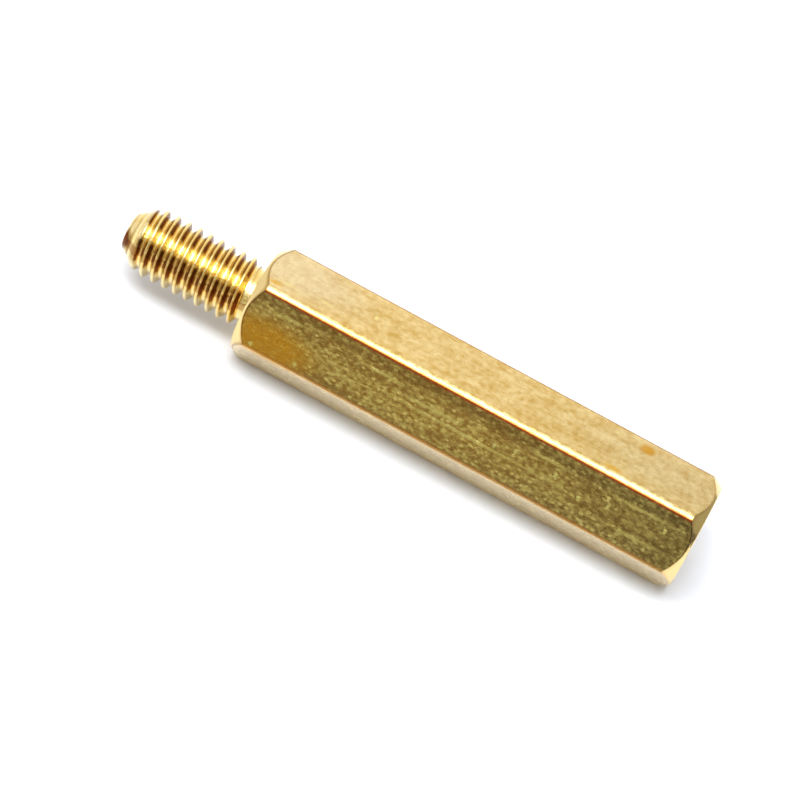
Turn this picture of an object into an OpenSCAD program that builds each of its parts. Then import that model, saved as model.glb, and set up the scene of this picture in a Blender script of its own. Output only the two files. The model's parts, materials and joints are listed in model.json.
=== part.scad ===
// Hex standoff: one piece of brass turned from drawn hexagonal bar, with a
// threaded stud on one end and a blind tapped hole in the other.
//
// The origin is the centre of the shoulder, where the stud leaves the hex.
// The body runs along +X, the stud along -X, and two flats face up and down.
// Both threads are given as plain surfaces: the stud at its outside diameter
// and the hole at its drilled diameter.

/* [Thread] */
// Nominal diameter of the thread, the same at both ends so that standoffs stack
thread_d = 3; // [2:0.1:3.6]
// Pitch of the thread
thread_pitch = 0.5; // [0.35:0.05:0.7]
// How much thinner than nominal the stud's thread is turned
stud_allowance = 0.12; // [0.02:0.01:0.2]

/* [Hex body] */
// Width of the bar across its flats
across_flats = 4.5; // [3.7:0.1:10]
// Length of the hex body, from the shoulder to the tapped end
body_len = 20; // [12:0.5:60]
// Radius along the six corners of the drawn bar
corner_r = 0.18; // [0.05:0.01:0.5]
// How far the ring left on each end face lies inside the flats
end_inset = 0.08; // [0.02:0.01:0.25]
// Slope of the turned end chamfers, in degrees from the end face
end_chamfer_angle = 54; // [30:1:65]

/* [Stud] */
// Length of the stud, from the shoulder to its tip
stud_len = 5.85; // [3:0.05:15]
// Length of the undercut beside the shoulder, with its slope up to the thread
neck_len = 0.5; // [0.3:0.05:1.2]
// Slope at the thread's end of the undercut, in degrees from the shoulder
neck_slope = 30; // [15:1:45]
// Diameter of the flat left on the tip
tip_d = 1.36; // [0.5:0.02:1.6]
// Slope of the tip's chamfer, in degrees from the tip face
tip_chamfer_angle = 45; // [20:1:50]

/* [Tapped hole] */
// Depth of the drilled wall, from the tapped end to where the drill's point begins
hole_depth = 9; // [4:0.5:18]
// Angle across the drill's point
drill_point_angle = 118; // [90:1:140]
// Width of the countersink's slope round the mouth, along the radius
countersink_w = 0.35; // [0.1:0.05:0.45]
// Angle across the countersink
countersink_angle = 90; // [60:1:120]

/* [Hidden] */
$fn = 96;

brass = "#c8ac6c";
cut_past = 1;                     // how far a cutter runs out past the face it cuts
root_len = 1;                     // how far the stud's core is carried into the body

// The depth of a 60 degree metric thread is this share of its pitch.
thread_depth_share = 0.6134;

// Body
flat_r = across_flats / 2;
corner_reach = flat_r / cos(30);
corner_centre_r = (flat_r - corner_r) / cos(30);
corner_step = 15;                 // degrees turned between the points of a round corner
end_ring_r = flat_r - end_inset;
envelope_r = corner_reach + cut_past;
envelope_rise = (envelope_r - end_ring_r) * tan(end_chamfer_angle);

// Stud
stud_r = (thread_d - stud_allowance) / 2;
neck_r = stud_r - thread_depth_share * thread_pitch;
neck_rise = (stud_r - neck_r) * tan(neck_slope);
tip_r = tip_d / 2;
tip_rise = (stud_r - tip_r) * tan(tip_chamfer_angle);

// Tapped hole
drill_r = (thread_d - thread_pitch) / 2;
drill_point_len = drill_r / tan(drill_point_angle / 2);
mouth_r = drill_r + countersink_w;
countersink_depth = countersink_w / tan(countersink_angle / 2);
mouth_past_r = mouth_r + cut_past * tan(countersink_angle / 2);

// A point at a distance and an angle from a centre.
function around(centre, r, angle) = centre + r * [cos(angle), sin(angle)];

// The bar's section: a short arc at each of the six corners, with the flats between.
module bar_section() {
    polygon([
        for (corner = [30:60:330])
            for (turn = [-30:corner_step:30])
                around(around([0, 0], corner_centre_r, corner), corner_r, corner + turn)
    ]);
}

// The turned solid that the bar is held to: both ends slope in to the ring on
// the end face, which leaves a curved edge across each flat.
module turned_envelope() {
    rotate_extrude()
        polygon([
            [0, 0],
            [end_ring_r, 0],
            [envelope_r, envelope_rise],
            [envelope_r, body_len - envelope_rise],
            [end_ring_r, body_len],
            [0, body_len],
        ]);
}

module hex_body() {
    intersection() {
        linear_extrude(height = body_len) bar_section();
        turned_envelope();
    }
}

// The stud with its chamfered tip and, beside the shoulder, the undercut where
// the thread runs out, turned down to the thread's root.
module stud() {
    rotate_extrude()
        polygon([
            [0, -stud_len],
            [tip_r, -stud_len],
            [stud_r, tip_rise - stud_len],
            [stud_r, -neck_len],
            [neck_r, neck_rise - neck_len],
            [neck_r, root_len],
            [0, root_len],
        ]);
}

// The blind hole: countersunk mouth, drilled wall and the drill's point.
module tapped_hole() {
    translate([0, 0, body_len])
        rotate_extrude()
            polygon([
                [0, cut_past],
                [mouth_past_r, cut_past],
                [drill_r, -countersink_depth],
                [drill_r, -hole_depth],
                [0, -hole_depth - drill_point_len],
            ]);
}

module standoff() {
    color(brass)
        rotate([0, 90, 0])
            difference() {
                union() {
                    hex_body();
                    stud();
                }
                tapped_hole();
            }
}

standoff();
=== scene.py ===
# %% [markdown]
# # A brass hex standoff
#
# The real part is one piece of brass. It starts as drawn hexagonal bar, is turned at both ends,
# and gets an outside thread on its stud and an inside thread in its other end.
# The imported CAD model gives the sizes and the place. This script makes the surface that the eye
# sees: the soft corners of drawn bar, the turned cones, and both threads as true helices.
# Everything is one closed skin, because the real part has no joints.

import json
import math

import bmesh
import bpy
import numpy as np
from mathutils import Matrix, Vector

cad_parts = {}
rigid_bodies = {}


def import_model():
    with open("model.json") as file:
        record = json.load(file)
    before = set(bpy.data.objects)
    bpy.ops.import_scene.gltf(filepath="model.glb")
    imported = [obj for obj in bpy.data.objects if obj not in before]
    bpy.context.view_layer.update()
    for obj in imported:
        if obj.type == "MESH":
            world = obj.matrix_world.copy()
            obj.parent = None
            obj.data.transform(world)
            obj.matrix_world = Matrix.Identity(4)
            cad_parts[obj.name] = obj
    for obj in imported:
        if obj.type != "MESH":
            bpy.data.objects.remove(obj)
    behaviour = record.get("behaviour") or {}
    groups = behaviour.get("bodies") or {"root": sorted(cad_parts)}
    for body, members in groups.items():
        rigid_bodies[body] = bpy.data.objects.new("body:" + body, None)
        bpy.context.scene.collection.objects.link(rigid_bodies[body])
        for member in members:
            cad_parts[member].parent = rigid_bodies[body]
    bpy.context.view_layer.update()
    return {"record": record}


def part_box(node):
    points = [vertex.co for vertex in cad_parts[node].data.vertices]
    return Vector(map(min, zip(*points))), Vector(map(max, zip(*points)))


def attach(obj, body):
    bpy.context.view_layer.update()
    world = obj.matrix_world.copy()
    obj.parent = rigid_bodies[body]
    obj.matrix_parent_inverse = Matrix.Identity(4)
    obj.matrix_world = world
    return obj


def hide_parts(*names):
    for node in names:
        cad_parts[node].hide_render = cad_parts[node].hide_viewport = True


MM = 0.001

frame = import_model()

# %% [markdown]
# ## Sizes
#
# The main sizes are read from the CAD part, so the skin and the part can't differ in them. The
# frame's box gives the length, the stud's tip and the width across flats; two mounts give the stud
# and the drilled hole. The sizes that these can't tell are named here, in millimetres.

# %% Read the sizes
part_low, part_high = (np.array(corner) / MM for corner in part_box("standoff"))
mounts = {mount["name"]: mount for mount in frame["record"]["mounts"]}

BODY_LEN = float(part_high[0])
TIP_X = float(part_low[0])
FLAT_R = float(part_high[2])
STUD_R = mounts["stud"]["dims"]["r_mm"]
DRILL_R = mounts["tapped_hole"]["dims"]["r_mm"]

PITCH = 0.5
HOLE_DEPTH = 9.0
HOLE_FLOOR_X = BODY_LEN - HOLE_DEPTH

# Each corner: its reach from the axis in mm; how much flatter it is in its middle than beside it;
# how the flats before and after it fall away, as the angle in degrees at the corner and the width
# in mm; and how far the corner leans towards the flat before it, in degrees. Corner 0 points to
# the back and 3 to the front; 2 is the one that shines. The flatter part starts at BEVEL_FROM.
BEVEL_FROM = math.radians(21)
CORNERS = (
    (2.555, 1.0, (3.0, 0.42), (3.0, 0.42), 0.0),
    (2.538, 1.0, (3.0, 0.42), (3.0, 0.42), 0.0),
    (2.508, 7.0, (3.0, 0.42), (5.0, 0.42), 5.0),
    (2.569, 1.0, (1.5, 0.30), (3.0, 0.30), 0.0),
    (2.540, 1.0, (2.0, 0.42), (2.0, 0.42), 0.0),
    (2.555, 1.0, (2.0, 0.42), (2.0, 0.42), 0.0),
)
# The flat ring of each end stops a little inside the flats; the chamfer's angle is measured from
# the end's plane.
END_INSET = 0.083
END_RING_R = FLAT_R - END_INSET
END_CHAMFER = math.radians(54.0)
print(f"body {BODY_LEN:.2f} mm, tip at {TIP_X:.2f} mm, {2 * FLAT_R:.2f} mm across flats")

# %% [markdown]
# ## The section of drawn bar
#
# Hexagonal bar is pulled through a die, so its corners are round. Here the flats also fall away a
# little beside them, by amounts chosen so that each corner's line of light is as wide as it should
# be: that small fall is where a flat catches another part of the room.
# The section is a list of columns, each with an angle round the axis and a radius. The columns
# crowd together at the corners, and every ring of the skin uses the same ones.

# %% Make the bar's section
def half_flat(reach, bevel, fall, lean):
    """Points from the middle of a flat to the middle of its corner, as (along, out) in mm."""
    tilt = math.radians(fall[0])
    width = fall[1]
    drop = width * math.tan(tilt) / 2
    last = math.radians(30 + lean)
    turn_down = math.cos(tilt) - math.cos(BEVEL_FROM)
    turn_down += bevel * (math.cos(BEVEL_FROM) - math.cos(last))
    turn_over = math.sin(BEVEL_FROM) - math.sin(tilt)
    turn_over += bevel * (math.sin(last) - math.sin(BEVEL_FROM))
    corner_r = (FLAT_R - drop - reach * math.cos(math.pi / 6)) / turn_down
    edge = reach * math.sin(math.pi / 6) - corner_r * turn_over
    points = [(t, FLAT_R) for t in np.linspace(0.0, edge - width, 4)]
    for s in np.linspace(0.0, 1.0, 5)[1:]:
        points.append((edge - width + width * s, FLAT_R - drop * s * s))
    along, out = points[-1]
    for start, end, radius in ((tilt, BEVEL_FROM, corner_r), (BEVEL_FROM, last, bevel * corner_r)):
        for angle in np.linspace(start, end, 3)[1:]:
            points.append((
                along + radius * (math.sin(angle) - math.sin(start)),
                out - radius * (math.cos(start) - math.cos(angle)),
            ))
        along, out = points[-1]
    return points


angles = []
radii = []
for side in range(6):
    first, last = CORNERS[side], CORNERS[(side + 1) % 6]
    before = half_flat(first[0], first[1], first[3], first[4])
    after = half_flat(last[0], last[1], last[2], -last[4])
    for along, out in [(-a, o) for a, o in before[::-1]] + after[1:-1]:
        angles.append(math.radians(30 + 60 * side) + math.atan2(along, out))
        radii.append(math.hypot(along, out))
theta = np.array(angles)
hex_r = np.array(radii)
COLUMNS = len(theta)
turn = (theta - theta[0]) / (2 * math.pi)
theta_0 = float(theta[0])
print(COLUMNS, "columns, corners reach", round(float(hex_r.max()), 3), "mm")

# %% [markdown]
# ## Rings and skin
#
# A turned part is easiest to make as rings of points that run from one end to the other, with a
# skin of four-sided faces between each ring and the next. Here the line goes from the stud's tip,
# over the outside, round the mouth of the hole and down to the drill's point.

# %% Ring helpers
points = []
faces = []
finishes = []
DRAWN, TURNED, THREAD, HOLE = range(4)


def add_ring(x, r):
    """Adds one ring, a point for each column, and returns the points' numbers."""
    first = len(points)
    xs = np.broadcast_to(x, theta.shape)
    rs = np.broadcast_to(r, theta.shape)
    points.extend(zip(xs, rs * np.cos(theta), rs * np.sin(theta)))
    return list(range(first, first + COLUMNS))


def add_face(corners, finish):
    """Adds one face with its finish."""
    faces.append(corners)
    finishes.append(finish)


def skin(ring_a, ring_b, finish):
    """Joins two rings with a band of four-sided faces."""
    for i in range(COLUMNS):
        k = (i + 1) % COLUMNS
        add_face((ring_a[i], ring_b[i], ring_b[k], ring_a[k]), finish)


def run(ring, line, finish):
    """Carries the skin on from a ring along a line of (x, r) stations."""
    for x, r in line:
        following = add_ring(x, r)
        skin(ring, following, finish)
        ring = following
    return ring


def cap(ring, x, finish):
    """Closes the skin on the axis."""
    centre = len(points)
    points.append((x, 0.0, 0.0))
    for i in range(COLUMNS):
        add_face((ring[i], ring[(i + 1) % COLUMNS], centre), finish)


print("a ring has", COLUMNS, "points")

# %% [markdown]
# ## A thread
#
# A thread is a helix, so plain rings can't follow its crest: they would cut across it in steps.
# Instead each row of points climbs by one pitch in one turn, and its end is the start of a later
# row. The radius comes from the thread's profile, held inside a second line that gives what the
# lathe left there: the chamfered tip, the undercut, the countersink. A few rows that lean less and
# less join the helix to a plain ring at either end.

# %% Thread profiles
def soft_min(a, b, size):
    """The smaller of two values, with the corner between them rounded."""
    share = np.clip(0.5 + 0.5 * (b - a) / size, 0.0, 1.0)
    return b * (1 - share) + a * share - size * share * (1 - share)


def soft_max(a, b, size):
    """The larger of two values, with the corner between them rounded."""
    return -soft_min(-a, -b, size)


def thread_profile(phase, crest_r, root_r, crest_half, rounding):
    """Radius of a 60 degree thread at a phase in pitches, 0 on the crest."""
    off = np.abs(phase - np.round(phase)) * PITCH
    flank = crest_r - (off - crest_half) / math.tan(math.pi / 6)
    return soft_max(soft_min(flank, crest_r, rounding), root_r, rounding)


def mesh_rows(half_steps):
    """Shares of a pitch where a thread is sampled, from its crest to the next."""
    # The last mirrored step is left out, because the crest is flat there.
    return sorted(set(half_steps) | {round(1 - s, 4) for s in half_steps if s > 0})[:-1] + [1.0]


print(f"a sharp thread of this pitch would be {PITCH / 2 / math.tan(math.pi / 6):.3f} mm deep")

# %% Thread helper
def add_thread(ring, ring_x, first_x, pitches, last_x, shares, radius_at, finish, blend=10):
    """Runs a helix on from a ring, which it doesn't touch, and returns the plain ring after it."""
    def row(x_of_turn, ends):
        """Adds one row, whose place along X depends on the share of a turn."""
        share = np.append(turn, 1.0)[: COLUMNS + (1 if ends else 0)]
        x = x_of_turn(share)
        r = radius_at(x, share)
        angle = theta_0 + 2 * math.pi * share
        first = len(points)
        points.extend(zip(x, r * np.cos(angle), r * np.sin(angle)))
        return list(range(first, first + len(share)))

    per_pitch = len(shares) - 1
    rows = []
    for number in range(pitches * per_pitch + 1):
        start = first_x + PITCH * (number // per_pitch + shares[number % per_pitch])
        last_turn = number > (pitches - 1) * per_pitch
        rows.append(row(lambda share, x=start: x + PITCH * share, last_turn))
    for number, points_of_row in enumerate(rows):
        if len(points_of_row) == COLUMNS:
            points_of_row.append(rows[number + per_pitch][0])
    for a, b in zip(rows, rows[1:]):
        for i in range(COLUMNS):
            add_face((a[i], b[i], b[i + 1], a[i + 1]), finish)

    lead_in = [ring]
    for step in range(1, blend):
        s = step / blend
        lead_in.append(row(lambda share: ring_x + (first_x + PITCH * share - ring_x) * s, False))
    lead_in.append(rows[0])
    for a, b in zip(lead_in, lead_in[1:]):
        for i in range(COLUMNS - 1):
            add_face((a[i], b[i], b[i + 1], a[i + 1]), finish)
    near_side = [line[COLUMNS - 1] for line in lead_in]
    far_side = [line[0] for line in lead_in[:-1]] + [line[0] for line in rows[: per_pitch + 1]]
    add_face(tuple(near_side + far_side[::-1]), finish)

    row_x = first_x + PITCH * pitches
    last_ring = row(lambda share: last_x + 0 * share, False)
    run_out = [rows[-1]]
    for step in range(1, blend):
        s = step / blend
        run_out.append(row(
            lambda share: row_x + PITCH * share + (last_x - row_x - PITCH * share) * s, True,
        ))
    run_out.append(last_ring + last_ring[:1])
    for a, b in zip(run_out, run_out[1:]):
        for i in range(1, COLUMNS):
            add_face((a[i], b[i], b[i + 1], a[i + 1]), finish)
    near_side = [line[1] for line in run_out]
    far_side = [line[-1] for line in rows[-per_pitch - 1:]] + [line[-1] for line in run_out[1:]]
    add_face(tuple(near_side + far_side[::-1]), finish)
    return last_ring


print("a row climbs", PITCH, "mm in a turn of", COLUMNS, "points")

# %% [markdown]
# ## The stud
#
# The stud was turned down, chamfered at the tip and threaded with a die. The die starts gently, so
# the first crests are not full. Next to the shoulder an undercut lets the die run out. The tip's
# cone keeps rings from the tool's coarse feed, drawn as deep as they need to be to show in a view
# of the whole part.

# %% Make the stud
DIE_DEPTH = 0.6134 * PITCH
DIE_ROUNDING = 0.035
CREST_R = STUD_R - 0.004
ROOT_R = STUD_R - DIE_DEPTH
NECK_R = ROOT_R - 0.012
CREST_X = -5.36
TIP_FLAT_R = 0.62
TIP_RING_PITCH = PITCH / 2
TIP_RING_DEPTH = 0.03
TIP_CONE_END_X = -5.2

# The line that holds the thread in: the tip's cone, the die's gentle start, and the undercut.
stud_line_x = [TIP_X, TIP_X + 0.02, -5.76, -5.58, -5.40, -5.17, -4.90, -4.55, -0.56, -0.36, 0.0]
stud_line_r = [0.66, 0.73, 0.82, 0.93, 1.06, 1.28, 1.38, 1.45, 1.45, NECK_R, NECK_R]


def stud_radius(x, share):
    """Radius of the threaded stud at a place along the axis and a share of a turn."""
    phase = (x - CREST_X) / PITCH - (share + theta_0 / (2 * math.pi))
    cut = thread_profile(phase, CREST_R, ROOT_R, PITCH / 16, DIE_ROUNDING)
    plain = np.interp(x, stud_line_x, stud_line_r)
    on_cone = np.clip((TIP_CONE_END_X - x) / 0.1, 0.0, 1.0)
    wave = 0.5 - 0.5 * np.cos(2 * math.pi * (x - TIP_X) / TIP_RING_PITCH)
    plain = plain - TIP_RING_DEPTH * on_cone * wave
    return soft_min(cut, plain, 0.03)


STUD_SHARES = mesh_rows([0, 0.03, 0.06, 0.09, 0.13, 0.19, 0.25, 0.31, 0.37, 0.41, 0.45, 0.5])
first_row_x = -5.74
first_ring_x = -5.78
neck_ring_x = -0.07

tip = add_ring(TIP_X, 0.04)
cap(tip, TIP_X, TURNED)
tip = run(tip, [(TIP_X, r) for r in (0.2, 0.4, 0.56, TIP_FLAT_R)], TURNED)
tip = run(tip, [(TIP_X + 0.008, 0.675), (TIP_X + 0.03, 0.725)], TURNED)
tip = run(tip, [(first_ring_x, stud_radius(np.array([first_ring_x]), 0.0)[0])], THREAD)

row_phase = (first_row_x - CREST_X) / PITCH - theta_0 / (2 * math.pi)
shift = row_phase - math.floor(row_phase)
stud_shares = sorted({round((s - shift) % 1.0, 5) for s in STUD_SHARES})
stud_shares = sorted(set(stud_shares) | {0.0}) + [1.0]
stud_pitches = round((neck_ring_x - 0.03 - PITCH - first_row_x) / PITCH)
neck = add_thread(
    tip, first_ring_x, first_row_x, stud_pitches, neck_ring_x,
    stud_shares, stud_radius, THREAD,
)
print("stud:", len(points), "points,", stud_pitches, "pitches of helix")

# %% [markdown]
# ## The hex body
#
# Both ends are chamfered on the lathe. A cone that cuts a hexagon leaves its edge deep at the
# corners and shallow in the middle of each flat, which is the curve that a standoff's ends show.
# The cone's edge is worked out for each column, so that rings of points can follow it. No turned
# edge is perfectly sharp, so a helper rounds each one a little.

# %% A rounded edge
def soft_edge(before, edge, after, size, steps=3):
    """Stations that round off an edge: each of the three is an (x, r) pair, numbers or columns."""
    before, edge, after = (
        np.array([np.broadcast_to(v, theta.shape) for v in station], float)
        for station in (before, edge, after)
    )
    into = (before - edge) / np.linalg.norm(before - edge, axis=0)
    out = (after - edge) / np.linalg.norm(after - edge, axis=0)
    line = []
    for s in np.linspace(0.0, 1.0, steps + 1):
        station = edge + size * (into * (1 - s) ** 2 + out * s ** 2)
        line.append((station[0], station[1]))
    return line


middle_x, middle_r = soft_edge((0, 1), (0, 0), (1, 0), 0.1, 2)[1]
print(f"a right angle rounded by 0.1 mm loses {math.hypot(middle_x[0], middle_r[0]):.3f} mm")

# %% Make the shoulder, the flats and the tapped end
EDGE = 0.035
RING_EDGE = 0.03
CONE_SHARES = (0.35, 0.5, 0.65)
SHOULDER_BROWNING = 1.0
TAPPED_END_BROWNING = 0.4
cone_x = (hex_r - END_RING_R) * math.tan(END_CHAMFER)
flat_from = cone_x + EDGE + 0.03
flat_to = BODY_LEN - flat_from

ring = run(neck, [(-0.035, NECK_R + 0.008), (-0.012, NECK_R + 0.03), (0.0, NECK_R + 0.07)], TURNED)
ring = run(ring, [(0.0, r) for r in (1.35, 1.7, END_RING_R - 0.12, END_RING_R - 0.06)], TURNED)
ring = run(ring, soft_edge((0.0, 1.5), (0.0, END_RING_R), (cone_x, hex_r), RING_EDGE), TURNED)
ring = run(ring, [
    (cone_x * s, END_RING_R + (hex_r - END_RING_R) * s) for s in CONE_SHARES
], TURNED)
edge_line = soft_edge((0.0, END_RING_R), (cone_x, hex_r), (cone_x + 1.0, hex_r), EDGE * 0.6)
shoulder_edge = len(points)
ring = run(ring, edge_line[:2], TURNED)
ring = run(ring, edge_line[2:], DRAWN)
edge_points = {number: SHOULDER_BROWNING for number in range(shoulder_edge, len(points))}
spacing = np.concatenate([[0.0, 0.004, 0.012], np.linspace(0.03, 0.97, 36), [0.988, 0.996, 1.0]])
ring = run(ring, [(flat_from + (flat_to - flat_from) * s, hex_r) for s in spacing], DRAWN)
tapped_edge = len(points)
ring = run(ring, [(BODY_LEN - x, r) for x, r in edge_line[::-1][:2]], DRAWN)
ring = run(ring, [(BODY_LEN - x, r) for x, r in edge_line[::-1][2:]], TURNED)
edge_points.update({number: TAPPED_END_BROWNING for number in range(tapped_edge, len(points))})
ring = run(ring, [
    (BODY_LEN - cone_x * s, END_RING_R + (hex_r - END_RING_R) * s) for s in CONE_SHARES[::-1]
], TURNED)
ring = run(ring, soft_edge(
    (BODY_LEN - cone_x, hex_r), (BODY_LEN, END_RING_R), (BODY_LEN, 1.5), RING_EDGE,
), TURNED)
print("body:", len(points), "points so far")

# %% [markdown]
# ## The tapped hole
#
# The hole is drilled, countersunk and tapped. Its thread is cut outwards from the drilled wall,
# and fades where the tap stopped; below it the plain wall and the drill's cone are left.

# %% Make the tapped hole
MOUTH_R = DRILL_R + 0.35
COUNTERSINK_DEEP = 0.35
TAP_CREST_X = 0.18
TAPPED_TO_X = BODY_LEN - 7.6
# The thread is full until a little short of there, and gone a little beyond.
FULL_BEFORE = 0.3
GONE_AFTER = 0.9
TAP_DEPTH = 0.5413 * PITCH
TAP_ROUNDING = 0.03
HOLE_ROOT_R = DRILL_R + TAP_DEPTH
DRILL_POINT_ANGLE = 118.0


def hole_radius(x, share):
    """Radius of the tapped wall at a place along the axis and a share of a turn."""
    phase = (x - TAP_CREST_X) / PITCH - (share + theta_0 / (2 * math.pi))
    # The profile is that of an outside thread, mirrored at the drilled wall.
    mirrored_root_r = 2 * DRILL_R - HOLE_ROOT_R
    cut = 2 * DRILL_R - thread_profile(phase, DRILL_R, mirrored_root_r, PITCH / 8, TAP_ROUNDING)
    fade_x = [TAPPED_TO_X - GONE_AFTER, TAPPED_TO_X + FULL_BEFORE]
    fade = np.interp(x, fade_x, [DRILL_R, HOLE_ROOT_R + 0.02])
    cone = np.interp(x, [BODY_LEN - COUNTERSINK_DEEP - 0.1, BODY_LEN], [DRILL_R - 0.1, MOUTH_R])
    return soft_max(soft_min(cut, fade, 0.02), cone, 0.02)


HOLE_SHARES = mesh_rows([0, 0.06, 0.11, 0.16, 0.24, 0.32, 0.40, 0.45, 0.5])
mouth_x = BODY_LEN - 0.03
ring = run(ring, [(BODY_LEN, r) for r in (2.05, 1.85, MOUTH_R + 0.08, MOUTH_R + 0.03)], TURNED)
ring = run(ring, [(BODY_LEN - 0.004, MOUTH_R + 0.008), (BODY_LEN - 0.015, MOUTH_R - 0.01)], TURNED)

# The helix helper climbs towards +X, so the hole is laid from its foot and joined up afterwards.
foot_x = TAPPED_TO_X - 1.0
foot = add_ring(foot_x, DRILL_R)
hole_first_x = foot_x + 0.06
hole_pitches = int((mouth_x - 0.02 - PITCH - hole_first_x) / PITCH)
mouth = add_thread(
    foot, foot_x, hole_first_x, hole_pitches, mouth_x,
    HOLE_SHARES, hole_radius, HOLE,
)
skin(ring, mouth, TURNED)
ring = run(foot, [(foot_x - 0.2, DRILL_R), (HOLE_FLOOR_X + 0.05, DRILL_R)], HOLE)
point_slope = math.tan(math.radians(DRILL_POINT_ANGLE / 2))
ring = run(ring, [
    (HOLE_FLOOR_X - (DRILL_R - r) / point_slope, r) for r in (DRILL_R - 0.03, 0.9, 0.5, 0.2, 0.05)
], HOLE)
cap(ring, HOLE_FLOOR_X - DRILL_R / point_slope, HOLE)
print("hole:", len(points), "points in all,", hole_pitches, "pitches of helix")

# %% [markdown]
# ## From points to a mesh
#
# The lists become one mesh in metres. Blender then turns every face to look outwards, and the
# check below counts open edges, which have to be none on a closed skin.

# %% Make the object
mesh = bpy.data.meshes.new("brass_standoff")
mesh.from_pydata((np.array(points) * MM).tolist(), [], faces)
mesh.polygons.foreach_set("material_index", finishes)
mesh.polygons.foreach_set("use_smooth", [True] * len(faces))
edge_browning = mesh.attributes.new("edge_browning", "FLOAT", "POINT")
for number, share in edge_points.items():
    edge_browning.data[number].value = share
shape = bmesh.new()
shape.from_mesh(mesh)
bmesh.ops.recalc_face_normals(shape, faces=shape.faces)
open_edges = sum(1 for edge in shape.edges if len(edge.link_faces) != 2)
volume = shape.calc_volume() / MM ** 3
shape.to_mesh(mesh)
shape.free()
standoff = bpy.data.objects.new("brass_standoff", mesh)
bpy.context.scene.collection.objects.link(standoff)
triangles = sum(len(face) - 2 for face in faces)
print(f"{len(faces)} faces, {triangles} triangles, {open_edges} open edges, {volume:.1f} mm3")

# %% [markdown]
# ## Colours and nodes
#
# Colours are written as sRGB hex and turned linear by one function. A second small function adds
# a node with its settings and links, so each material reads from top to bottom. The settings that
# come back most often have a name.

# %% Material helpers
MULTIPLY = {"operation": "MULTIPLY"}
MULTIPLY_ADD = {"operation": "MULTIPLY_ADD"}
SMOOTH = {"interpolation_type": "SMOOTHSTEP"}
COLOUR = {"data_type": "RGBA"}


def linear(hex_colour):
    """A linear RGBA colour from an sRGB hex string."""
    values = [int(hex_colour[i:i + 2], 16) / 255 for i in (1, 3, 5)]
    return [v / 12.92 if v <= 0.04045 else ((v + 0.055) / 1.055) ** 2.4 for v in values] + [1.0]


def node(tree, kind, settings=None, *values, **inputs):
    """Adds a node. Settings are its properties. The values go to its first inputs in turn, and the
    named inputs to those in use. Each is a number, a colour, a socket to link from, or a node,
    which stands for the first of its outputs that is in use."""
    made = tree.nodes.new(kind)
    for name, value in (settings or {}).items():
        setattr(made, name, value)
    filled = list(zip(made.inputs, values))
    for name, value in inputs.items():
        label = name.replace("_", " ")
        filled.append((next(s for s in made.inputs if s.enabled and s.name == label), value))
    for socket, value in filled:
        if isinstance(value, bpy.types.Node):
            value = next(output for output in value.outputs if output.enabled)
        if isinstance(value, bpy.types.NodeSocket):
            tree.links.new(value, socket)
        else:
            socket.default_value = value
    return made


def new_material(name):
    """An empty node material and its tree."""
    material = bpy.data.materials.new(name)
    material.use_nodes = True
    material.node_tree.nodes.clear()
    return material, material.node_tree


print("mid grey as a linear colour:", [round(v, 3) for v in linear("#808080")])

# %% [markdown]
# ## Colours of the brass
#
# A metal has no colour of its own under its surface: its base colour is the share of each part of
# the light that it mirrors. Clean brass mirrors red and green well and blue poorly. A thin film of
# tarnish or oil takes more of the blue, and a thick one takes green too, which reads as brown.

# %% Colours of the brass
BRASS = "#FBDFA0"  # the drawn skin where it is clean
TARNISH = "#DBB570"  # the drawn skin with a thin film
BRIGHT = "#F7DA98"  # cut with a lathe tool
THREAD_GOLD = "#FADB92"  # cut with a die
PAINTED_SHEEN = "#FFEFBE"  # the same, painted pale as highlight and as reflection of the floor on the stud
RUBBED = "#FFF09C"  # handling has rubbed the film off
OLIVE = "#FFF0A0"  # a greenish film, its lightest grains
DULL = "#82703A"  # the same film between the grains; on the front flat also painted dark reflection
SHADE = "#4C4626"  # painted dark reflection beside the shining corner
PALE = "#F8EBCB"  # a dry, whitish bloom; on the lower flat it is painted reflection of the bright floor
AMBER = "#EDB02E"  # a thin smear of old oil; on the front flat also painted reflection
STAIN = "#DC981E"  # the round stain
CORNER_SHADE_RED = "#B05426"  # a red-brown line of painted dark reflection beside the shining corner
EDGE_BROWN = "#8A5A2C"  # a brown line along the chamfer edges, and painted dark reflection beside corners of the flats
FLANK_BROWN = "#7A4A1A"  # dirt and painted shade on the flanks of a thread
STUD_SHADE_BROWN = "#84501F"  # painted shade along the stud and in the tip's rings
TIP_SHADE_BROWN = "#5E3214"  # painted dark reflection at the rim of the tip
print("clean brass as a linear colour:", [round(v, 3) for v in linear(BRASS)])

# %% [markdown]
# ## What the brass finishes share
#
# Every finish measures its places in millimetres, adds up patterns that each have a height in
# millimetres, and ends in a metal shader. So these three steps are written once. The mesh marks the
# edges where the chamfers meet the flats, and both finishes that meet there get the same brown
# line.

# %% Helpers for a brass finish
EDGE_BROWNING = 0.6


def coordinates(tree):
    """Places in mm: the point, its part across the bar's axis, and its distance from the axis."""
    place = node(tree, "ShaderNodeTexCoord").outputs["Object"]
    mm = node(tree, "ShaderNodeVectorMath", {"operation": "SCALE"}, place, Scale=1 / MM)
    across = node(tree, "ShaderNodeVectorMath", MULTIPLY, mm, (0, 1, 1))
    return mm, across, node(tree, "ShaderNodeVectorMath", {"operation": "LENGTH"}, across)


def add_up(tree, patterns):
    """The sum of some patterns, each times its own height or share."""
    total = 0.0
    for pattern, share in patterns:
        total = node(tree, "ShaderNodeMath", MULTIPLY_ADD, pattern, share, total)
    return total


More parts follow.
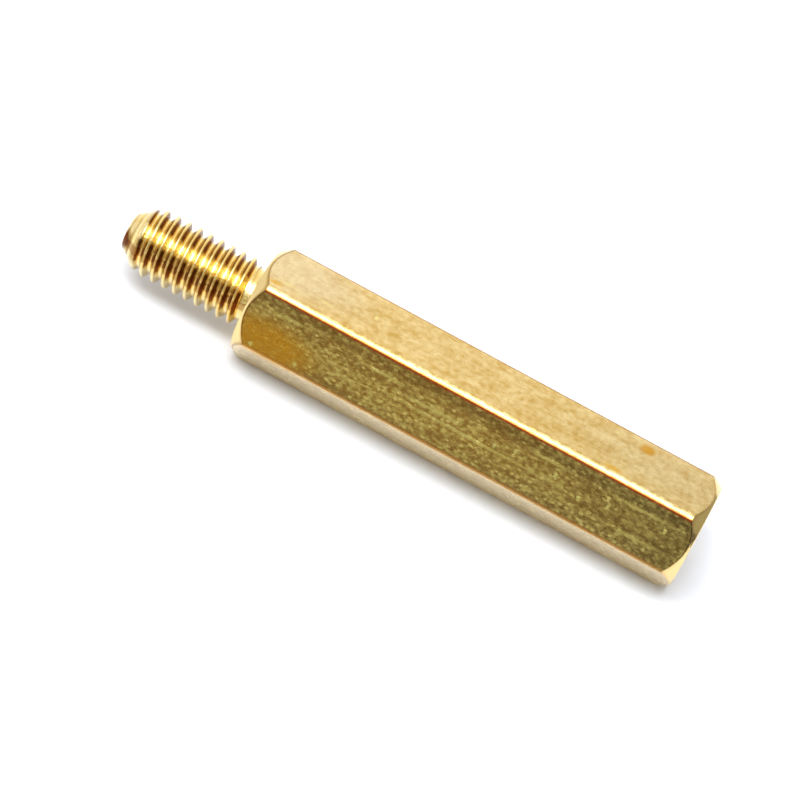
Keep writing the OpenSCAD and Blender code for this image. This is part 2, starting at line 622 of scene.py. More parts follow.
def brown_edges(tree, colour):
    """Browns a colour along the edges that the mesh marks."""
    edge = node(tree, "ShaderNodeAttribute", {"attribute_name": "edge_browning"}).outputs["Fac"]
    share = node(tree, "ShaderNodeMath", MULTIPLY, edge, EDGE_BROWNING)
    return node(tree, "ShaderNodeMix", COLOUR, Factor=share, A=colour, B=linear(EDGE_BROWN))


def finish_brass(material, colour, roughness, height, strength=1.0):
    """Ends a finish in its metal shader and gives it to the mesh."""
    tree = material.node_tree
    bump = node(tree, "ShaderNodeBump", Height=height, Distance=MM, Strength=strength)
    shader = node(
        tree, "ShaderNodeBsdfPrincipled", Base_Color=colour, Metallic=1.0,
        Roughness=roughness, Normal=bump,
    )
    node(tree, "ShaderNodeOutputMaterial", Surface=shader)
    mesh.materials.append(material)
    print(material.name + ":", len(tree.nodes), "nodes")


print(len(edge_points), "points of the mesh are marked as dirty edges")

# %% [markdown]
# ## Drawn brass bar
#
# The flats keep the skin that the bar got from its die: lines along the bar, a fine grain, small
# pits, and the dents and rubbed lines of handling. To the eye it is a soft mirror: it shows the
# lights of the room as broad shapes, broken up by the grain. One height field in millimetres holds
# all of the relief, so each part of it has a real size, and one Bump node reads it.
# Real die lines are too fine to show in a view of the whole part, so the lines and the grain are
# drawn coarser here, as wide as they need to be to show.

# %% Drawn brass: coordinates
drawn, tree = new_material("drawn brass bar")
mm, _, from_axis = coordinates(tree)
# Squeezing a pattern's coordinates along X stretches it along the bar.
SQUEEZES = (0.06, 0.85, 0.6)
pulled, smeared, grained = (
    node(tree, "ShaderNodeVectorMath", MULTIPLY, mm, (squeeze, 1, 1)) for squeeze in SQUEEZES
)
print("patterns are stretched", [round(1 / squeeze, 1) for squeeze in SQUEEZES], "times")

# %% Drawn brass: lines and grain
# Widths in mm: a single die line, a band of them, the soft unevenness of the skin, and its grain.
DIE_LINE = 0.12
DIE_BAND = 0.3
MOTTLE = 0.21
GRAIN = 0.14
lines = node(tree, "ShaderNodeTexNoise", Vector=pulled, Scale=1 / DIE_LINE, Detail=0.0)
bands = node(tree, "ShaderNodeTexNoise", Vector=pulled, Scale=1 / DIE_BAND, Detail=1.0)
mottle = node(tree, "ShaderNodeTexNoise", Vector=smeared, Scale=1 / MOTTLE, Detail=0.8)
grain = node(
    tree, "ShaderNodeTexNoise", Vector=grained, Scale=1 / GRAIN, Detail=2.0, Roughness=0.55,
)
height = add_up(tree, ((lines, 0.004), (bands, 0.009), (mottle, 0.011), (grain, 0.008)))
print(f"die lines {DIE_LINE} mm wide, grain {GRAIN} mm")

# %% Drawn brass: pits
# The cells of a Voronoi pattern, of which a little under half hold a pit.
PIT_CELL = 0.36
PIT_R = 0.065
PIT_DEPTH = 0.008
EMPTY_CELLS = 0.55
pits = node(tree, "ShaderNodeTexVoronoi", Vector=mm, Scale=1 / PIT_CELL)
pit_shape = node(
    tree, "ShaderNodeMapRange", SMOOTH, Value=pits.outputs["Distance"],
    From_Min=0.0, From_Max=PIT_R / PIT_CELL, To_Min=1.0, To_Max=0.0,
)
pit_luck = node(tree, "ShaderNodeSeparateColor", Color=pits.outputs["Color"])
has_pit = node(tree, "ShaderNodeMath", {"operation": "GREATER_THAN"}, pit_luck, EMPTY_CELLS)
pit = node(tree, "ShaderNodeMath", MULTIPLY, pit_shape, has_pit)
height = node(tree, "ShaderNodeMath", MULTIPLY_ADD, pit, -PIT_DEPTH, height)
print(f"pits {2 * PIT_R} mm wide and {PIT_DEPTH} mm deep")

# %% [markdown]
# ## Marks of handling
#
# A standoff lives in a box with hundreds of others, so its flats get dents and thin rubbed lines.
# Each one has a place on one of the flats: how far along the bar, how far up from the flat's
# middle line, and the direction that the flat faces. A mark is shallow relief, and it is brighter
# than the skin round it, because it has lost its film.

# %% Drawn brass: helpers for marks at known places
# They add their nodes to the drawn brass, so they use its tree and its millimetres from above.
FRONT_FLAT = 30
TOP_FLAT = 90
LOWER_FLAT = -30


def on_flat(x, along, facing):
    """A point in mm on the flat that faces so many degrees up from the front."""
    lean = math.radians(facing)
    return (
        x,
        -FLAT_R * math.cos(lean) + along * math.sin(lean),
        FLAT_R * math.sin(lean) + along * math.cos(lean),
    )


def carve(height, rubbed, hollow, depth, share):
    """Adds a hollow to the relief, and the share of the film that is gone at its bottom."""
    height = node(tree, "ShaderNodeMath", {"operation": "ADD"}, hollow, height)
    rubbed = node(tree, "ShaderNodeMath", MULTIPLY_ADD, hollow, -share / depth, rubbed)
    return height, rubbed


def distance_from(centre, squeeze):
    """Distance in mm from a place. The squeeze makes it an oval, or a strip along where it is 0."""
    off = node(tree, "ShaderNodeVectorMath", {"operation": "SUBTRACT"}, mm, centre)
    squeezed = node(tree, "ShaderNodeVectorMath", MULTIPLY, off, squeeze)
    return node(tree, "ShaderNodeVectorMath", {"operation": "LENGTH"}, squeezed)


def soft_oval(centre, squeeze, solid, edge, share):
    """A soft oval: its share out to one distance in mm from its centre, and 0 from another on."""
    return node(
        tree, "ShaderNodeMapRange", SMOOTH, Value=distance_from(centre, squeeze),
        From_Min=solid, From_Max=edge, To_Min=share, To_Max=0.0,
    )


print("the front flat's middle line is at", [round(v, 2) for v in on_flat(0, 0, FRONT_FLAT)])

# %% Drawn brass: dents
DENT_R = 0.15
DENT_DEPTH = 0.010
# Each dent on a flat: its x and how far up the flat it is.
DENTS = {
    FRONT_FLAT: (
        (0.87, -1.08), (2.82, -0.98), (13.98, 0.14), (16.25, 0.31), (16.37, 0.03),
        (15.19, -0.26), (18.78, 0.24), (11.31, 0.0), (12.17, 0.21),
    ),
    TOP_FLAT: ((4.77, 0.06),),
}
# The share of the film that is gone grows with the depth, up to most of it.
MOST_RUBBED = 0.8
rubbed = 0.0
for centre in [on_flat(x, along, facing) for facing in DENTS for x, along in DENTS[facing]]:
    reach = node(tree, "ShaderNodeVectorMath", {"operation": "DISTANCE"}, mm, centre)
    dent = node(
        tree, "ShaderNodeMapRange", SMOOTH, Value=reach,
        From_Min=0.02, From_Max=DENT_R, To_Min=-DENT_DEPTH, To_Max=0.0,
    )
    height, rubbed = carve(height, rubbed, dent, DENT_DEPTH, MOST_RUBBED)
print("dents on the front flat and the top flat:", [len(dents) for dents in DENTS.values()])

# %% Drawn brass: rubbed lines
# Each line on a flat: from x, to x, and how far up the flat it is.
LINE_HALF = 0.11
LINE_DEPTH = 0.005
LINE_RUBBED = 0.55
RUBBED_LINES = {
    FRONT_FLAT: (
        (3.6, 16.0, -0.205), (15.2, 19.8, 0.545), (0.8, 3.0, 0.575), (12.0, 15.0, 0.56),
        (6.5, 10.5, 0.1), (16.5, 19.0, -0.62), (4.6, 7.4, 0.42),
    ),
    TOP_FLAT: ((0.25, 1.9, -0.63), (2.2, 3.4, -0.55)),
}
for facing, rubbed_lines in RUBBED_LINES.items():
    for x_from, x_to, along in rubbed_lines:
        middle = on_flat((x_from + x_to) / 2, along, facing)
        squeeze = (LINE_HALF / ((x_to - x_from) / 2), 1, 1)
        groove = soft_oval(middle, squeeze, 0.0, LINE_HALF, -LINE_DEPTH)
        height, rubbed = carve(height, rubbed, groove, LINE_DEPTH, LINE_RUBBED)
print("rubbed lines are", 2 * LINE_HALF, "mm wide")

# %% Drawn brass: burnished corners
# The die burnishes the corners, so the relief dies away towards them. A flat's middle is 2.25 mm
# from the axis and its edge about 2.55 mm.
RELIEF_TO_R = 2.32
BURNISHED_FROM_R = 2.42
CORNER_RELIEF = 0.04
relief = node(
    tree, "ShaderNodeMapRange", SMOOTH, Value=from_axis,
    From_Min=RELIEF_TO_R, From_Max=BURNISHED_FROM_R, To_Min=1.0, To_Max=CORNER_RELIEF,
)
print("relief ends between", RELIEF_TO_R, "and", BURNISHED_FROM_R, "mm from the axis")

# %% [markdown]
# ## Tarnish, films, painted light and the stain
#
# The skin has tarnished in a faint, uneven way that follows the same patterns as its relief. The
# flat that faces the front has a thicker, greenish film, which the eye sees as olive granules with
# darker gaps: grain and bands give the streaks, and small cells give the granules. The darker gaps
# are also painted reflection of the dark room in front. The films and painted light after that have
# places of their own. Each is an oval on one flat, or a strip all along it: a whitish bloom, and a
# whitish strip on the lower flat that is painted reflection of the floor; smears of amber oil, of
# which the two on the front flat are also painted reflection; thin dark lines of painted dark
# reflection beside the corners; a round stain.

# %% Drawn brass: tarnish all over
CLOUD = 0.6
cloud = node(tree, "ShaderNodeTexNoise", Vector=smeared, Scale=1 / CLOUD, Detail=2.0)
film = add_up(tree, ((mottle, 0.38), (bands, 0.3), (cloud, 0.4), (grain, 0.22)))
cloudy = node(
    tree, "ShaderNodeMapRange", Value=film, From_Min=0.5, From_Max=0.8, To_Min=0.0, To_Max=1.0,
)
tarnished = node(tree, "ShaderNodeMix", COLOUR, Factor=cloudy, A=linear(BRASS), B=linear(TARNISH))
print("clouds of tarnish are", CLOUD, "mm wide")

# %% Drawn brass: the front flat's film
GRANULE = 0.17
# The film ends a little short of the flat's corners. Distances are from the flat's middle line.
FILM_FULL_TO = 1.15
FILM_ENDS = 1.3
FILM_SHARE = 0.8
streaked = node(tree, "ShaderNodeMath", MULTIPLY_ADD, bands, 0.35, grain)
granules = node(tree, "ShaderNodeTexVoronoi", Vector=grained, Scale=1 / GRANULE)
granule_shape = node(
    tree, "ShaderNodeMapRange", SMOOTH, Value=granules.outputs["Distance"],
    From_Min=0.05, From_Max=0.5, To_Min=1.0, To_Max=0.0,
)
granule_luck = node(tree, "ShaderNodeSeparateColor", Color=granules.outputs["Color"])
speck = node(tree, "ShaderNodeMath", MULTIPLY, granule_shape, granule_luck)
lit = node(tree, "ShaderNodeMath", MULTIPLY_ADD, streaked, 2.0, speck)
grainy = node(
    tree, "ShaderNodeMapRange", Value=lit, From_Min=1.14, From_Max=1.9, To_Min=1.0, To_Max=0.0,
)
# The film's dark grains are also painted dark reflection of the dark room in front.
front_skin = node(tree, "ShaderNodeMix", COLOUR, Factor=grainy, A=linear(OLIVE), B=linear(DULL))
front_share = node(
    tree, "ShaderNodeMapRange", Value=distance_from(on_flat(10.0, 0.0, FRONT_FLAT), (0, 1, 1)),
    From_Min=FILM_FULL_TO, From_Max=FILM_ENDS, To_Min=FILM_SHARE, To_Max=0.0,
)
coloured = node(tree, "ShaderNodeMix", COLOUR, Factor=front_share, A=tarnished, B=front_skin)
print("the film's granules are", GRANULE, "mm apart across the bar")

# %% Drawn brass: films and painted light at known places
# Each film or patch of painted light: its colour, its centre on a flat, the squeeze that makes its
# shape (0 or nearly 0 along the bar makes a strip that runs along it), the distances in mm where it
# is full and where it ends, and how strong it is.
FILMS_AND_PAINTED_LIGHT = (
    # The whitish strip on the lower flat is painted reflection of the bright floor.
    (PALE, (10.0, 0.0, LOWER_FLAT), (0.0, 1, 1), 0.95, 1.2, 0.6),
    (PALE, (1.0, 0.2, TOP_FLAT), (0.3, 0.7, 0.7), 0.3, 1.3, 0.35),
    (DULL, (20.0, 0.0, TOP_FLAT), (0.13, 0.7, 0.7), 0.3, 1.3, 0.12),
    (PALE, (19.0, 0.2, TOP_FLAT), (0.2, 0.7, 0.7), 0.3, 1.3, 0.15),
    # Painted dark reflection beside the shining corner.
    (SHADE, (10.0, 1.0, FRONT_FLAT), (0.0, 1, 1), 0.15, 0.5, 0.35),
    (DULL, (20.0, 0.0, FRONT_FLAT), (0.11, 0.7, 0.7), 0.0, 1.2, 0.45),
    # The two amber films on the front flat are old oil and also painted reflection.
    (AMBER, (6.0, 0.0, FRONT_FLAT), (0.08, 0.6, 0.6), 0.3, 1.3, 0.2),
    (AMBER, (1.4, -0.75, FRONT_FLAT), (0.36, 0.8, 0.8), 0.3, 1.0, 0.7),
    # A red-brown line of painted dark reflection at the shining corner.
    (CORNER_SHADE_RED, (10.0, 1.16, FRONT_FLAT), (0.005, 1, 1), 0.06, 0.15, 0.75),
    # Brown lines of painted dark reflection beside the front flat's lower corner and the top flat's
    # far corner.
    (EDGE_BROWN, (10.0, -1.27, FRONT_FLAT), (0.005, 1, 1), 0.05, 0.13, 0.75),
    (EDGE_BROWN, (10.0, 1.28, TOP_FLAT), (0.0, 1, 1), 0.07, 0.13, 0.65),
    (AMBER, (15.85, -1.0, TOP_FLAT), (0.25, 1, 1), 0.04, 0.14, 0.7),
    (AMBER, (0.65, -0.86, TOP_FLAT), (0.3, 1, 1), 0.04, 0.13, 0.6),
    (STAIN, (16.69, 0.755, TOP_FLAT), (0.75, 1, 1), 0.14, 0.34, 0.62),
    (AMBER, (16.72, 0.77, TOP_FLAT), (0.8, 1, 1), 0.0, 0.18, 0.4),
)
for overlay_hex, centre, squeeze, solid, edge, share in FILMS_AND_PAINTED_LIGHT:
    overlay_here = soft_oval(on_flat(*centre), squeeze, solid, edge, share)
    overlay_colour = linear(overlay_hex)
    coloured = node(tree, "ShaderNodeMix", COLOUR, Factor=overlay_here, A=coloured, B=overlay_colour)
print(len(FILMS_AND_PAINTED_LIGHT), "films at known places")

# %% Drawn brass: rubbed marks and the gloss
rubbed_share = node(tree, "ShaderNodeMath", {"operation": "MINIMUM"}, rubbed, MOST_RUBBED)
coloured = node(tree, "ShaderNodeMix", COLOUR, Factor=rubbed_share, A=coloured, B=linear(RUBBED))
# High grain is polished by touch and low grain is not, so the roughness follows it. That is what
# breaks up a mirrored light into glittering grains.
gloss = node(
    tree, "ShaderNodeMapRange", Value=grain, From_Min=0.3, From_Max=0.7, To_Min=0.32, To_Max=0.14,
)
finish_brass(drawn, brown_edges(tree, coloured), gloss, height, relief)

# %% [markdown]
# ## Turned brass
#
# The end faces, the chamfers, the undercut and the tip were cut with the bar spinning, so their
# tool marks are rings round the axis. They are bright: fresh cut brass has no drawn skin. The eye
# gets a sharper mirror than on the flats, a clean gold without grain. A pattern that depends only
# on the distance from the axis and the place along it is the same all the way round, which is how
# the rings are made.

# %% Turned brass
FEED_MARK = 0.05
CHATTER = 0.3
TURNED_ROUGHNESS = 0.2
turned, tree = new_material("turned brass")
mm, _, radius = coordinates(tree)
split = node(tree, "ShaderNodeSeparateXYZ", Vector=mm)
ring_place = node(tree, "ShaderNodeCombineXYZ", X=split.outputs["X"], Y=radius)
feed = node(tree, "ShaderNodeTexNoise", Vector=ring_place, Scale=1 / FEED_MARK, Detail=1.0)
chatter = node(tree, "ShaderNodeTexNoise", Vector=mm, Scale=1 / CHATTER, Detail=2.0)
tone = node(
    tree, "ShaderNodeMapRange", Value=chatter,
    From_Min=0.35, From_Max=0.65, To_Min=0.0, To_Max=0.5,
)
colour = node(tree, "ShaderNodeMix", COLOUR, Factor=tone, A=linear(BRIGHT), B=linear(BRASS))
height = add_up(tree, ((feed, 0.0025), (chatter, 0.006)))
finish_brass(turned, brown_edges(tree, colour), TURNED_ROUGHNESS, height)

# %% [markdown]
# ## Threads
#
# A die and a tap leave fine scores that follow the helix, and small tears. On a flank the helix
# keeps one radius, so lines that depend only on the radius follow it without a seam.
# The eye gets bright crests and roots with brown flanks between them: dirt that stays where a cloth
# can't reach, and painted shade that is deepest on the flanks facing one way along the bar. Along
# the stud run a light stripe of painted highlight and a dark stripe of painted shade, its underside
# is painted pale as a reflection of the floor, and the tip gets painted dark reflection at its rim
# and painted shade in its rings. The tapped hole has the same flanks without the stud's painted
# light and shade.

# %% Where the thread's painted light and flank colours are
def out_from_axis(facing):
    """The direction away from the axis that faces so many degrees up from the front."""
    return (0.0, -math.cos(math.radians(facing)), math.sin(math.radians(facing)))


# Directions of the stud's painted shade, painted highlight and pale painted reflection of the
# floor.
SHADED_SIDE = out_from_axis(15)
LIT_SIDE = out_from_axis(58)
UNDER_SIDE = out_from_axis(-37)
STUD_FLANK_R = (CREST_R + ROOT_R) / 2
HOLE_FLANK_R = (DRILL_R + HOLE_ROOT_R) / 2
print(f"flanks at {STUD_FLANK_R:.2f} mm on the stud and {HOLE_FLANK_R:.2f} mm in the hole")

# %% Threads: scores and tears
SCORE = 0.04
TEAR = 0.12


def thread_relief(tree, mm, across, radius):
    """The height in mm of scores, which keep one radius, and of tears."""
    slow_across = node(tree, "ShaderNodeVectorMath", {"operation": "SCALE"}, across, Scale=0.1)
    by_radius = node(tree, "ShaderNodeCombineXYZ", X=radius)
    place = node(tree, "ShaderNodeVectorMath", {"operation": "ADD"}, slow_across, by_radius)
    scores = node(tree, "ShaderNodeTexNoise", Vector=place, Scale=1 / SCORE, Detail=1.0)
    tears = node(tree, "ShaderNodeTexNoise", Vector=mm, Scale=1 / TEAR, Detail=2.0)
    return add_up(tree, ((scores, 0.003), (tears, 0.018)))


print(f"scores {SCORE} mm wide, tears {TEAR} mm")

# %% Threads: dirt and painted shade on the flanks
# The distances from the middle of a flank where its brown is full and where it ends, and the
# cosines where the stripe of painted highlight starts and where it is strongest.
FLANK_BROWN_FULL_TO = 0.07
FLANK_BROWN_ENDS = 0.13
LIT_FROM = 0.94
LIT_MOST = 0.985


def toward(tree, across, radius, direction):
    """How far a place is towards a direction, as the cosine of the angle to it."""
    dot = node(tree, "ShaderNodeVectorMath", {"operation": "DOT_PRODUCT"}, across, direction)
    return node(tree, "ShaderNodeMath", {"operation": "DIVIDE"}, dot, radius)


def flank_dirt_and_shade(tree, radius, toward_lit, flank_r, shade_side):
    """Dirt and painted shade on the flanks only: most on those facing one way along X, least on the
    stripe of painted highlight.
    """
    from_flank = node(tree, "ShaderNodeMath", {"operation": "SUBTRACT"}, radius, flank_r)
    off_flank = node(tree, "ShaderNodeMath", {"operation": "ABSOLUTE"}, from_flank)
    darkened = node(
        tree, "ShaderNodeMapRange", SMOOTH, Value=off_flank,
        From_Min=FLANK_BROWN_FULL_TO, From_Max=FLANK_BROWN_ENDS, To_Min=1.0, To_Max=0.0,
    )
    normal = node(tree, "ShaderNodeTexCoord").outputs["Normal"]
    facing = node(tree, "ShaderNodeSeparateXYZ", Vector=normal)
    # Painted shade: the flanks facing one way along X get more of the brown.
    shaded_flank = node(
        tree, "ShaderNodeMapRange", Value=facing.outputs["X"],
        From_Min=-0.4 * shade_side, From_Max=0.4 * shade_side, To_Min=0.5, To_Max=0.95,
    )
    # Less brown where the stripe of painted highlight runs.
    off_lit_stripe = node(
        tree, "ShaderNodeMapRange", SMOOTH, Value=toward_lit,
        From_Min=LIT_FROM, From_Max=LIT_MOST, To_Min=1.0, To_Max=0.3,
    )
    for limit in (shaded_flank, off_lit_stripe):
        darkened = node(tree, "ShaderNodeMath", MULTIPLY, darkened, limit)
    return darkened


print(f"dirt reaches {FLANK_BROWN_ENDS} mm from the middle of a flank")

# %% The stud's painted shade in the tip's rings
def ring_shade(tree, mm, under):
    """Painted shade in the rings on the tip's cone, deeper underneath."""
    x = node(tree, "ShaderNodeSeparateXYZ", Vector=mm).outputs["X"]
    turns = node(
        tree, "ShaderNodeMath", MULTIPLY_ADD, x,
        2 * math.pi / TIP_RING_PITCH, -2 * math.pi * TIP_X / TIP_RING_PITCH,
    )
    wave = node(tree, "ShaderNodeMath", {"operation": "COSINE"}, turns)
    in_ring = node(
        tree, "ShaderNodeMapRange", Value=wave,
        From_Min=-0.8, From_Max=0.4, To_Min=0.75, To_Max=0.0,
    )
    on_cone = node(
        tree, "ShaderNodeMapRange", Value=x,
        From_Min=TIP_CONE_END_X - 0.1, From_Max=TIP_CONE_END_X, To_Min=1.0, To_Max=0.0,
    )
    underneath = node(
        tree, "ShaderNodeMapRange", Value=under,
        From_Min=0.0, From_Max=0.6, To_Min=0.35, To_Max=1.0,
    )
    for limit in (on_cone, underneath):
        in_ring = node(tree, "ShaderNodeMath", MULTIPLY, in_ring, limit)
    return in_ring


print(f"the tip's rings are {TIP_RING_PITCH} mm apart")

# %% The stud's painted light and shade: all of it
SHADED_SHARE = 0.6
UNDER_SHEEN = 0.7
LIT_SHEEN = 0.35
TIP_SHADE_AT = (TIP_X + 0.05, -0.68, 0.16)


def stud_painted_light(tree, mm, across, radius, toward_lit):
    """The stud's painted light and shade, each as its share and its colour."""
    shaded, under = (toward(tree, across, radius, side) for side in (SHADED_SIDE, UNDER_SIDE))
    # Painted shade along the stud, painted reflection of the floor on its underside, and painted
    # highlight along its lit stripe: the cosines between which each comes in, its full share and
    # its colour.
    overlays = [
        (node(
            tree, "ShaderNodeMapRange", SMOOTH, Value=side,
            From_Min=start, From_Max=full, To_Min=0.0, To_Max=share,
        ), overlay_hex)
        for side, start, full, share, overlay_hex in (
            (shaded, 0.978, 0.9945, SHADED_SHARE, STUD_SHADE_BROWN),
            (under, 0.8, 0.95, UNDER_SHEEN, PAINTED_SHEEN),
            (toward_lit, LIT_FROM, LIT_MOST, LIT_SHEEN, PAINTED_SHEEN),
        )
    ]
    # Painted dark reflection at the rim of the tip.
    reach = node(tree, "ShaderNodeVectorMath", {"operation": "DISTANCE"}, mm, TIP_SHADE_AT)
    on_tip = node(
        tree, "ShaderNodeMapRange", SMOOTH, Value=reach,
        From_Min=0.25, From_Max=0.6, To_Min=1.0, To_Max=0.0,
    )
    return overlays + [(on_tip, TIP_SHADE_BROWN), (ring_shade(tree, mm, under), STUD_SHADE_BROWN)]


print(f"share of oil on the oily side: {SHADED_SHARE}")

# %% Die-cut brass and tapped brass
# Each finish: its name, its clean colour, its roughness, the middle of its flanks, which way along
# X the flanks with the deepest painted shade face, and whether it is the stud's.
for name, colour_hex, roughness, flank_r, shade_side, on_stud in (
    ("die-cut brass", THREAD_GOLD, 0.27, STUD_FLANK_R, 1.0, True),
    ("tapped brass", TARNISH, 0.25, HOLE_FLANK_R, -1.0, False),
):
    cut, tree = new_material(name)
    mm, across, radius = coordinates(tree)
    toward_lit = toward(tree, across, radius, LIT_SIDE)
    overlays = [(flank_dirt_and_shade(tree, radius, toward_lit, flank_r, shade_side), FLANK_BROWN)]
    if on_stud:
        overlays += stud_painted_light(tree, mm, across, radius, toward_lit)
    colour = linear(colour_hex)
    for share, overlay_hex in overlays:
        colour = node(tree, "ShaderNodeMix", COLOUR, Factor=share, A=colour, B=linear(overlay_hex))
    finish_brass(cut, colour, roughness, thread_relief(tree, mm, across, radius))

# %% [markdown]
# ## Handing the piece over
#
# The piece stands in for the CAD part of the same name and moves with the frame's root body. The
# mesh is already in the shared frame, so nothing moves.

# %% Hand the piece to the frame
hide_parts("standoff")
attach(standoff, "root")
print("handed over:", standoff.name, "with", len(mesh.materials), "finishes")

# %% [markdown]
# ## The floor
#
# The part lies on a plain sheet of matt opal plastic that is lit faintly from beneath, as on a
# light table turned low. The sheet isn't only a background: the lower flats and the undersides of
# the threads mirror it, and the faint light from below keeps them pale. It makes the shadow
# lighter too, so it stays weak enough for the shadow to show that part and sheet touch. The sheet
# is a trace bluer than white, because the brass throws warm light onto it. It lies two
# thousandths of a millimetre under the part, so that the two surfaces don't fight.

# %% Floor
FLOOR_HALF = 400
FLOOR_GAP = 0.002
FLOOR_GLOW = 0.10
FLOOR_Z = float(part_low[2])
floor_mesh = bpy.data.meshes.new("studio_floor")
sheet = bmesh.new()
bmesh.ops.create_grid(sheet, x_segments=8, y_segments=8, size=FLOOR_HALF * MM)
sheet.to_mesh(floor_mesh)
sheet.free()
floor = bpy.data.objects.new("studio_floor", floor_mesh)
floor.location = ((TIP_X + BODY_LEN) / 2 * MM, 0, (FLOOR_Z - FLOOR_GAP) * MM)
bpy.context.scene.collection.objects.link(floor)
material, tree = new_material("opal plastic sheet")
shader = node(
    tree, "ShaderNodeBsdfPrincipled", Base_Color=linear("#E6EAF2"), Roughness=0.9,
    Emission_Color=linear("#FFFFFF"), Emission_Strength=FLOOR_GLOW,
)
node(tree, "ShaderNodeOutputMaterial", Surface=shader)
floor_mesh.materials.append(material)
print(f"floor at {FLOOR_Z - FLOOR_GAP:.3f} mm, {2 * FLOOR_HALF} mm square")

# %% [markdown]
# ## Soft studio light
#
# Polished metal is lit by what it mirrors, so the light is made as a room round the part instead of
# as lamps. Each patch of the room is bright over a range of angles round the bar's axis, from 0 in
# front over 90 above to 180 behind, and over a range along the bar, from -1 to 1. A patch's two
# ranges are ramps, and its light is one times the other.
# - The back half of the room is a large soft white. The top flat mirrors it.
# - A narrow, strong soft box hangs in front of the zenith. It draws the white line on the corner
#   between the top flat and the front flat and the stripe on the stud, and lights the floor.
# - Low in front the room is dark, and a grey card there gives the front flat its deep olive.
# - A wall at each end lights the chamfers and the ends of the floor.

# %% Light: places in the room
world = bpy.data.worlds.new("soft studio")
bpy.context.scene.world = world
world.use_nodes = True
sky = world.node_tree
sky.nodes.clear()
direction = node(sky, "ShaderNodeTexCoord").outputs["Generated"]
parts = node(sky, "ShaderNodeSeparateXYZ", Vector=direction)
front = node(sky, "ShaderNodeMath", MULTIPLY, parts.outputs["Y"], -1.0)
lean = node(sky, "ShaderNodeMath", {"operation": "ARCTAN2"}, parts.outputs["Z"], front)
around = node(sky, "ShaderNodeMath", {"operation": "DIVIDE"}, lean, math.pi)
along = node(sky, "ShaderNodeMath", MULTIPLY_ADD, parts.outputs["X"], 0.5, 0.5)
print("world:", world.name + ",", len(sky.nodes), "nodes so far")

# %% Light: the patches
ROOM_AROUND = (
    (0, 0.0), (55, 0.0), (66, 0.64), (120, 0.76), (141, 0.74), (154, 0.95), (166, 1.0), (180, 1.0),
)
ROOM_ALONG = ((-0.8, 0.0), (-0.6, 0.9), (-0.15, 1.0), (0.05, 0.80), (0.45, 0.7), (0.6, 0.0))
CARD_AROUND = (
    (0, 0.48), (13, 0.46), (20, 0.5), (27, 0.68), (34, 0.9), (45, 1.0), (62, 1.0), (66, 0.0),
)
CARD_ALONG = ((-0.35, 0.0), (-0.22, 1.0), (0.12, 1.0), (0.25, 0.0))
LEFT_AROUND = ((0, 1.0), (180, 1.0))
LEFT_ALONG = ((-0.8, 1.0), (-0.6, 0.0))
RIGHT_AROUND = ((0, 0.3), (50, 0.35), (62, 1.0), (180, 1.0))
RIGHT_ALONG = ((0.45, 0.0), (0.65, 1.0))
BOX_AROUND = ((61, 0.0), (66, 1.0), (79, 1.0), (86, 0.0))
BOX_ALONG = ((-0.55, 0.0), (-0.35, 1.0), (0.12, 1.0), (0.3, 0.0))
GLOWS = (
    (ROOM_AROUND, ROOM_ALONG, 1.4),
    (CARD_AROUND, CARD_ALONG, 1.05),
    (LEFT_AROUND, LEFT_ALONG, 0.88),
    (RIGHT_AROUND, RIGHT_ALONG, 0.42),
    (BOX_AROUND, BOX_ALONG, 11.5),
)
print("strengths of the patches:", [patch[2] for patch in GLOWS])

# %% Light: put together
def glow(light_around, light_along, strength):
    """A patch of light: its brightness around the bar times its brightness along it."""
    ramps = []
    for place, stops in (
        (around, [(angle / 180, light) for angle, light in light_around]),
        (along, [((x + 1) / 2, light) for x, light in light_along]),
    ):
        ramp = node(sky, "ShaderNodeValToRGB", Fac=place)
        elements = ramp.color_ramp.elements
        elements.remove(elements[0])
        elements[0].position = stops[0][0]
        for position, light in stops[1:]:
            elements.new(position)
        for element, (position, light) in zip(elements, stops):
            element.color = (light, light, light, 1)
        ramps.append(ramp)
    light = node(sky, "ShaderNodeVectorMath", MULTIPLY, ramps[0], ramps[1])
    return node(sky, "ShaderNodeBackground", Color=light, Strength=strength)


surface = glow(*GLOWS[0])
for patch in GLOWS[1:]:
    surface = node(sky, "ShaderNodeAddShader", None, surface, glow(*patch))
node(sky, "ShaderNodeOutputWorld", Surface=surface)
print("light:", len(GLOWS), "patches,", len(sky.nodes), "nodes")

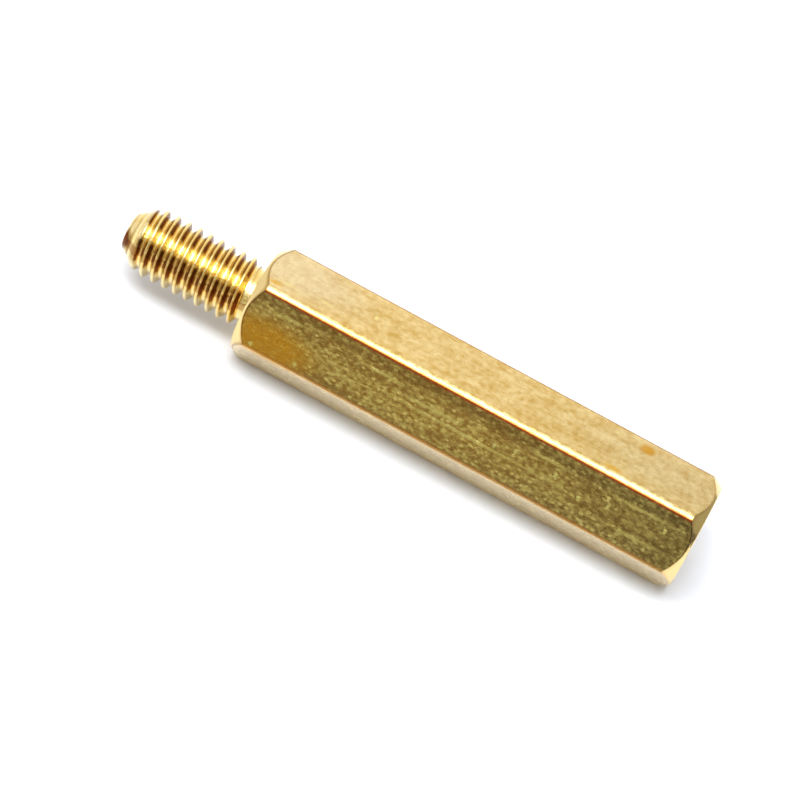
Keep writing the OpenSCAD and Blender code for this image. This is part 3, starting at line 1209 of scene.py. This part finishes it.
# %% [markdown]
# ## The camera and the print
#
# The camera looks from the front, 47 degrees down, and is rolled so that the part lies on a slant
# across the view. It has a long lens and is 14 centimetres away, so lines that are parallel on the
# part stay nearly parallel. The camera's own axes are worked out first and then set as a matrix.
# A tone curve pulls the deep tones down a little, as a print would, which gives the metal its bite.

# %% Camera
CAMERA_AZIMUTH = math.radians(6.6117)
CAMERA_ELEVATION = math.radians(46.9862)
CAMERA_ROLL = math.radians(23.6379)
CAMERA_DISTANCE = 137.5
CAMERA_FOCAL_PIXELS = 3434.78
IMAGE_PIXELS = 800
AIM_ALONG = 6.5652
AIM_UP = -0.9591
TONE_CURVE = ((0.1, 0.068), (0.32, 0.3))

back = Vector((
    math.sin(CAMERA_AZIMUTH) * math.cos(CAMERA_ELEVATION),
    -math.cos(CAMERA_AZIMUTH) * math.cos(CAMERA_ELEVATION),
    math.sin(CAMERA_ELEVATION),
))
level_right = (-back).cross(Vector((0, 0, 1))).normalized()
level_up = level_right.cross(-back)
right = level_right * math.cos(CAMERA_ROLL) + level_up * math.sin(CAMERA_ROLL)
up = level_up * math.cos(CAMERA_ROLL) - level_right * math.sin(CAMERA_ROLL)
aim = Vector((AIM_ALONG, 0, 0)) + up * AIM_UP
place = (aim + back * CAMERA_DISTANCE) * MM
camera_data = bpy.data.cameras.new("studio_camera")
camera_data.sensor_width = 36.0
camera_data.lens = camera_data.sensor_width * CAMERA_FOCAL_PIXELS / IMAGE_PIXELS
camera_data.clip_start = 0.005
camera_data.clip_end = 10.0
camera = bpy.data.objects.new("studio_camera", camera_data)
camera.matrix_world = Matrix((
    (right.x, up.x, back.x, place.x),
    (right.y, up.y, back.y, place.y),
    (right.z, up.z, back.z, place.z),
    (0, 0, 0, 1),
))
bpy.context.scene.collection.objects.link(camera)
bpy.context.scene.camera = camera
view = bpy.context.scene.view_settings
view.view_transform = "Standard"
view.use_curve_mapping = True
for tone_in, tone_out in TONE_CURVE:
    view.curve_mapping.curves[3].points.new(tone_in, tone_out)
view.curve_mapping.update()
print(f"camera: {camera_data.lens:.0f} mm lens, {CAMERA_DISTANCE:.0f} mm from the part")
